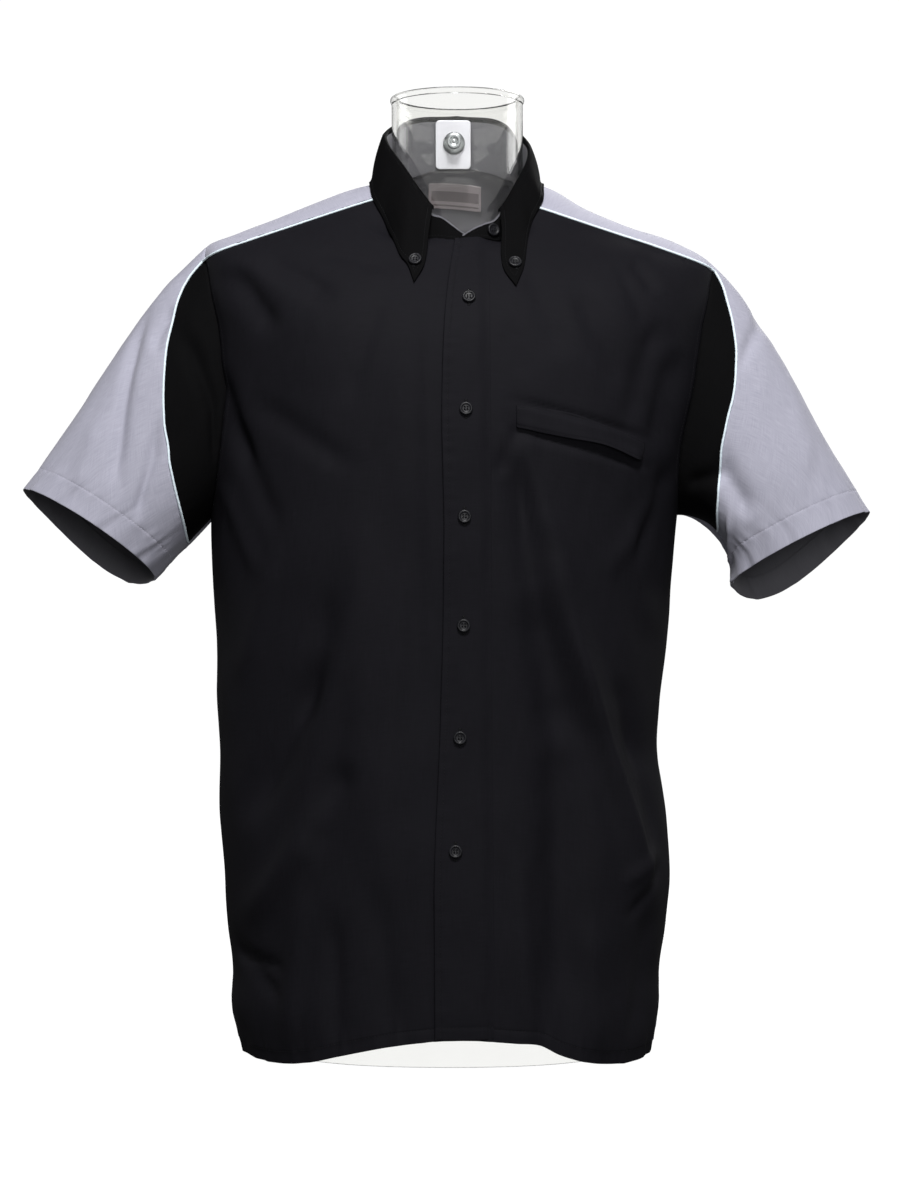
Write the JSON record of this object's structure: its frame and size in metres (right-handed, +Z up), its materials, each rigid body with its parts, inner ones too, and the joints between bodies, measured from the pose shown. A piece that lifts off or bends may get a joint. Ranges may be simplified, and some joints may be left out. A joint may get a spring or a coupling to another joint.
{
  "type": "racing shirt on a dress form",
  "caption": "Short-sleeved button-down racing shirt with piped yoke and sleeve panels, worn on a clear limbless dress form that stands on its open base.",
  "frame": {"origin": "centre of the whole part's box, on the floor plane where the form's foot stands", "axes": "+X to the wearer's left, +Y to the back, +Z up; the front faces -Y"},
  "size_m": [0.7574, 0.2863, 0.8555],
  "materials": {
    "black_cloth": "plain-woven cotton blend, matt black",
    "grey_cloth": "plain-woven cotton blend, light grey",
    "piping": "white corded piping",
    "label": "woven satin label, plain",
    "button": "dark pearly resin",
    "form": "clear acrylic",
    "metal": "satin"
  },
  "bodies": {
    "root": {"right_front": "black_cloth", "left_front": "black_cloth", "placket": "black_cloth", "pocket_welt": "black_cloth", "right_sleeve_panel": "black_cloth", "left_sleeve_panel": "black_cloth", "collar_stand": "black_cloth", "collar_fall": "black_cloth", "back": "grey_cloth", "yoke": "grey_cloth", "right_sleeve": "grey_cloth", "left_sleeve": "grey_cloth", "right_yoke_piping": "piping", "left_yoke_piping": "piping", "right_sleeve_piping": "piping", "left_sleeve_piping": "piping", "neck_label": "label", "placket_button_1": "button", "placket_button_2": "button", "placket_button_3": "button", "placket_button_4": "button", "placket_button_5": "button", "placket_button_6": "button", "collar_button_right": "button", "collar_button_left": "button", "stand_button": "button", "dress_form": "form", "neck_plate": "metal", "neck_knob": "metal"}
  },
  "joints": []
}
